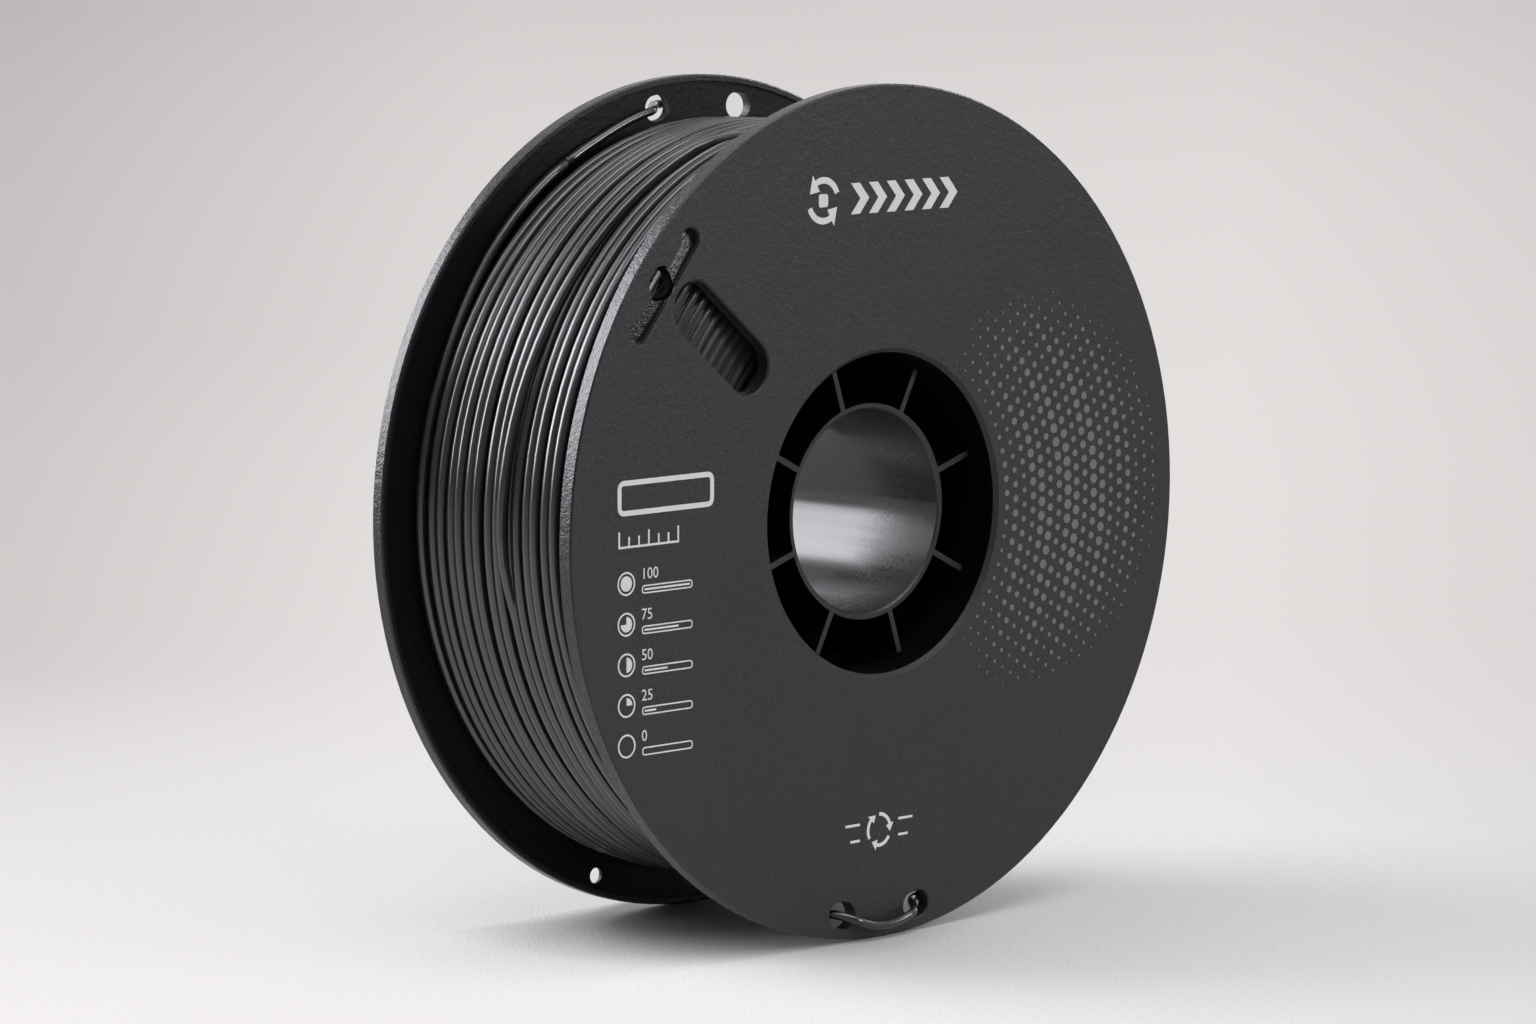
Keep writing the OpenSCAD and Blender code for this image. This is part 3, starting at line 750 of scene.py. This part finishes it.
class Print:
    """Flat closed shapes on the front face, given in millimetres as X and Z."""

    def __init__(self):
        self.verts, self.faces = [], []

    def both_sides(self, points):
        """Add the points at the ink's front and at its back, and say where they begin."""
        base = len(self.verts)
        for y in (INK_FRONT, INK_BACK):
            self.verts += [Vector((x, -y, z)) * MM for x, z in points]
        return base

    def patch(self, outline):
        n, base = len(outline), self.both_sides(outline)
        self.faces.append(tuple(base + k for k in range(n)))
        self.faces.append(tuple(base + n + k for k in reversed(range(n))))
        for k in range(n):
            m = (k + 1) % n
            self.faces.append((base + k, base + n + k, base + n + m, base + m))

    def band(self, x, z, r, width, start=0.0, stop=360.0, parts=None):
        """Part of a ring, or a whole one, as a row of flat boxes."""
        parts = parts or max(6, round(abs(stop - start) / 10))
        closed = abs(stop - start) >= 360
        n = parts if closed else parts + 1
        base = len(self.verts)
        for i in range(n):
            for rr in (r - width / 2, r + width / 2):
                self.both_sides([around(x, z, rr, mix(start, stop, i / parts))])
        for i in range(parts):
            p, q = base + 4 * i, base + 4 * ((i + 1) % n)
            self.faces += [(p, p + 2, q + 2, q), (p + 1, q + 1, q + 3, p + 3),
                           (p, q, q + 1, p + 1), (p + 2, p + 3, q + 3, q + 2)]
        if not closed:
            q = base + 4 * parts
            self.faces += [(base, base + 1, base + 3, base + 2), (q, q + 2, q + 3, q + 1)]

    def bar(self, x0, z0, x1, z1):
        self.patch([(x0, z0), (x1, z0), (x1, z1), (x0, z1)])

    def arrow(self, x, z, r, width, start, stop):
        """A curved arrow from start to stop degrees, its head at stop."""
        turn = 1 if stop > start else -1
        neck = stop - turn * math.degrees(2.2 * width / r)
        self.band(x, z, r, width, start, neck)
        points = [(neck, r - 1.5 * width), (stop, r), (neck, r + 1.5 * width)]
        self.patch([around(x, z, rr, a) for a, rr in points[::-turn]])

    def numeral(self, text, x, z, height):
        """Plain figures from the built-in font, standing on z and starting at x."""
        curve = bpy.data.curves.new("numeral", "FONT")
        curve.body = text
        curve.size = height / FIGURE_HEIGHT
        curve.resolution_u = 3
        source = add_object("numeral", curve)
        flat = source.evaluated_get(bpy.context.evaluated_depsgraph_get()).to_mesh()
        points = [(x + v.co.x, z + v.co.y) for v in flat.vertices]
        tops = [tuple(polygon.vertices) for polygon in flat.polygons]
        edges = {}
        for face in tops:
            for a, b in zip(face, face[1:] + face[:1]):
                edges[(a, b)] = edges.get((a, b), 0) + 1
        source.to_mesh_clear()
        bpy.data.objects.remove(source)
        bpy.data.curves.remove(curve)
        base, n = self.both_sides(points), len(points)
        for face in tops:
            self.faces.append(tuple(base + v for v in face))
            self.faces.append(tuple(base + n + v for v in reversed(face)))
        for a, b in edges:
            if (b, a) not in edges:
                self.faces.append((base + a, base + n + a, base + n + b, base + b))

    def make(self, name, mat):
        obj = mesh_object(name, self.verts, self.faces, mat)
        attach(obj, "front")


def make_dots(mat):
    """A field of small hexagons on rings about the axis, largest in the middle of the field."""
    dots = Print()
    centre_a, centre_r = 2.0, 64.0
    half_wide, half_deep = 56.0, 34.0
    dot_pitch, ring_pitch = 3.45, 3.05
    biggest, smallest = 1.15, 0.2
    row, r, last_r = 0, 41.5, 97.5
    while r < last_r:
        step = math.degrees(dot_pitch / r)
        count = round(130 / step)
        for i in range(-count // 2, count // 2 + 1):
            a = centre_a + (i + 0.5 * (row % 2)) * step
            across = math.radians(a - centre_a) * r / half_wide
            deep = (r - centre_r) / half_deep
            inside = 1 - across * across - deep * deep
            wave = 1 + 0.22 * math.sin(0.62 * r + math.radians(7.0 * a))
            size = biggest * wave * max(inside, 0.0) ** 0.8
            if size < smallest:
                continue
            x, z = around(0.0, 0.0, r, a)
            turn = math.radians(a)
            dots.patch([(x + size * math.cos(turn + TAU * k / 6), z + size * math.sin(turn + TAU * k / 6))
                        for k in range(6)])
        r += ring_pitch
        row += 1
    dots.make("print_dot_field", mat)


def rounded(x0, z0, x1, z1, r):
    """Outline of a rectangle with round corners."""
    corners = ((x1 - r, z1 - r, 0), (x0 + r, z1 - r, 90), (x0 + r, z0 + r, 180), (x1 - r, z0 + r, 270))
    return [around(cx, cz, r, a) for cx, cz, first in corners for a in range(first, first + 91, 15)]


def outlined(mark, outer, inner):
    """The band between two outlines of equally many points."""
    for k in range(len(outer)):
        m = (k + 1) % len(outer)
        mark.patch([outer[k], outer[m], inner[m], inner[k]])


def make_turn_mark(mat):
    """Which way the front half turns to lock: a ring with two arrows, and chevrons that lead off it."""
    mark = Print()
    ring_x, z = -20.5, 74.0
    for start in (20, 200):
        mark.arrow(ring_x, z, 4.7, 1.5, start, start + 140)
    mark.patch(rounded(-22.0, 72.5, -19.0, 75.5, 0.6))
    half, deep, thick = 3.6, 3.1, 2.9
    for i in range(6):
        x = -11.5 + 5.9 * i
        mark.patch([(x, z - half), (x + thick, z - half), (x + thick + deep, z), (x + thick, z + half),
                    (x, z + half), (x + deep, z)])
    mark.make("print_turn_mark", mat)


def make_write_on_field(mat):
    """A field to write in, with a short ruler below it."""
    field = Print()
    outlined(field, rounded(-85.6, 6.4, -55.6, 14.4, 1.9), rounded(-84.4, 7.6, -56.8, 13.2, 0.7))
    for k in range(7):
        field.bar(-85.4 + 3.05 * k, -0.4, -84.9 + 3.05 * k, 2.9 if k % 3 == 0 else 1.7)
    field.bar(-85.4, -0.9, -66.6, -0.4)
    field.make("print_write_on_field", mat)


def make_level_scale(mat):
    """How much of the winding is left, as pies, plain figures and gauges."""
    scale = Print()
    x, left, right, rim = -83.0, -78.2, -62.4, 0.32
    for z, share in ((-8.9, 100), (-18.1, 75), (-27.3, 50), (-36.5, 25), (-45.7, 0)):
        scale.band(x, z, 2.5, 0.42, parts=PIE_PARTS)
        parts = round(share / 100 * PIE_PARTS)
        if parts:
            whole = parts == PIE_PARTS
            pie = [around(x, z, 1.75, 90 - 10 * k) for k in range(parts + (not whole))]
            scale.patch((pie if whole else [(x, z)] + pie)[::-1])
        scale.numeral(str(share), -78.4, z + 0.65, 2.5)
        low, high = z - 2.7, z - 0.75
        outlined(scale, rounded(left, low, right, high, 0.8),
                 rounded(left + rim, low + rim, right - rim, high - rim, 0.48))
        if share:
            filled = (right - left - 1.6) * share / 100
            scale.bar(left + 0.8, low + 0.75, left + 0.8 + filled, high - 0.75)
    scale.make("print_level_scale", mat)


def make_reuse_mark(mat):
    """Three arrows that chase each other round a ring, and short rules on each side of them."""
    mark = Print()
    x, z = -1.8, -74.4
    for k in range(3):
        mark.arrow(x, z, 3.7, 0.85, 90 - 120 * k, -12 - 120 * k)
    for side in (-1, 1):
        for up, far in ((1.9, 11.2), (-1.9, 9.6)):
            x0, x1 = sorted((x + side * 6.4, x + side * far))
            mark.bar(x0, z + up - 0.3, x1, z + up + 0.3)
    mark.make("print_reuse_mark", mat)


# ---------------------------------------------------------------- the scene

make_camera()
make_world()
make_floor()
make_lights()
bpy.context.scene.view_settings.view_transform = "Standard"

SHELL = moulded("shell_plastic", 0.02, deep=(0, 37.7, -32.7, FACE), polished=(-71.58, 57.96, 17.0, 4.1))
HUB = moulded("hub_plastic", 0.016, deep=(25.1, 36.9, -27.35, 32.0), bore=True)
FILAMENT = filament_material("filament", 0.024, 0.88)
# The layers below are a darker copy of the filament as painted shade, and are painted near black outside the
# band of radii given.
FILAMENT_DEEP = filament_material("filament_deep", 0.014, 0.6, unshaded_r=(60.0, 74.0, 83.0, 86.0))
FILAMENT_END = filament_material("filament_end", 0.014, 0.8)
CARD = card_material()
TAG = tag_material()
for node, look in (("front_half", SHELL), ("rear_half", HUB), ("refill_core", CARD),
                   ("id_tag_front", TAG), ("id_tag_rear", TAG)):
    paint(NODES[node], look)

make_filament(FILAMENT)
make_inner_layers(FILAMENT_DEEP)
make_front_end(FILAMENT_END)
make_rear_end(FILAMENT_END)

WHITE_INK = ink("print_white", 0.98)
make_turn_mark(WHITE_INK)
make_write_on_field(WHITE_INK)
make_level_scale(WHITE_INK)
make_reuse_mark(WHITE_INK)
make_dots(ink("print_grey", 0.2, (0.99, 1.0, 1.02)))
